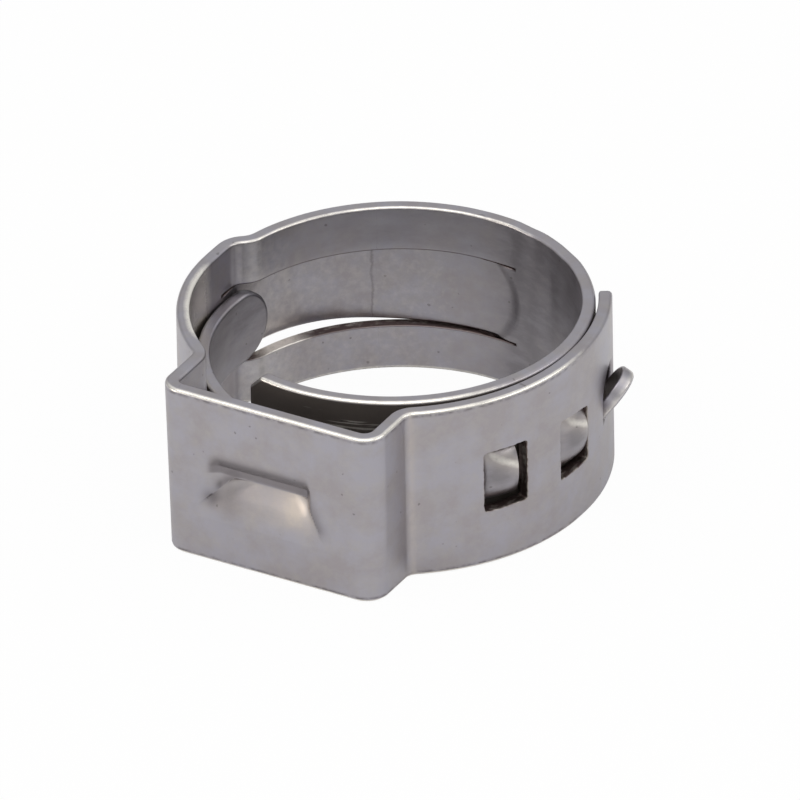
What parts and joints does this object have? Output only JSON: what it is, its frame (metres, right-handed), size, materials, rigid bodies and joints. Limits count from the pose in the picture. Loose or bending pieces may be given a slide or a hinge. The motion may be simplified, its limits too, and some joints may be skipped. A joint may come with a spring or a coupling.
{
  "type": "ear hose clamp",
  "caption": "One-piece ear hose clamp: a steel strip wound into a ring with a boxy crimping ear, hooked overlap, tongue and channel.",
  "frame": {"origin": "on the hose axis, in the plane of the lower band edge", "axes": "+Z along the hose axis, the ear points to -Y, the strip's free end lies at +X"},
  "size_m": [0.0211, 0.0217, 0.009],
  "materials": {
    "strip_steel": "satin tumbled stainless steel, deburred edges"
  },
  "bodies": {
    "root": {"clamp_band": "strip_steel"}
  },
  "joints": []
}
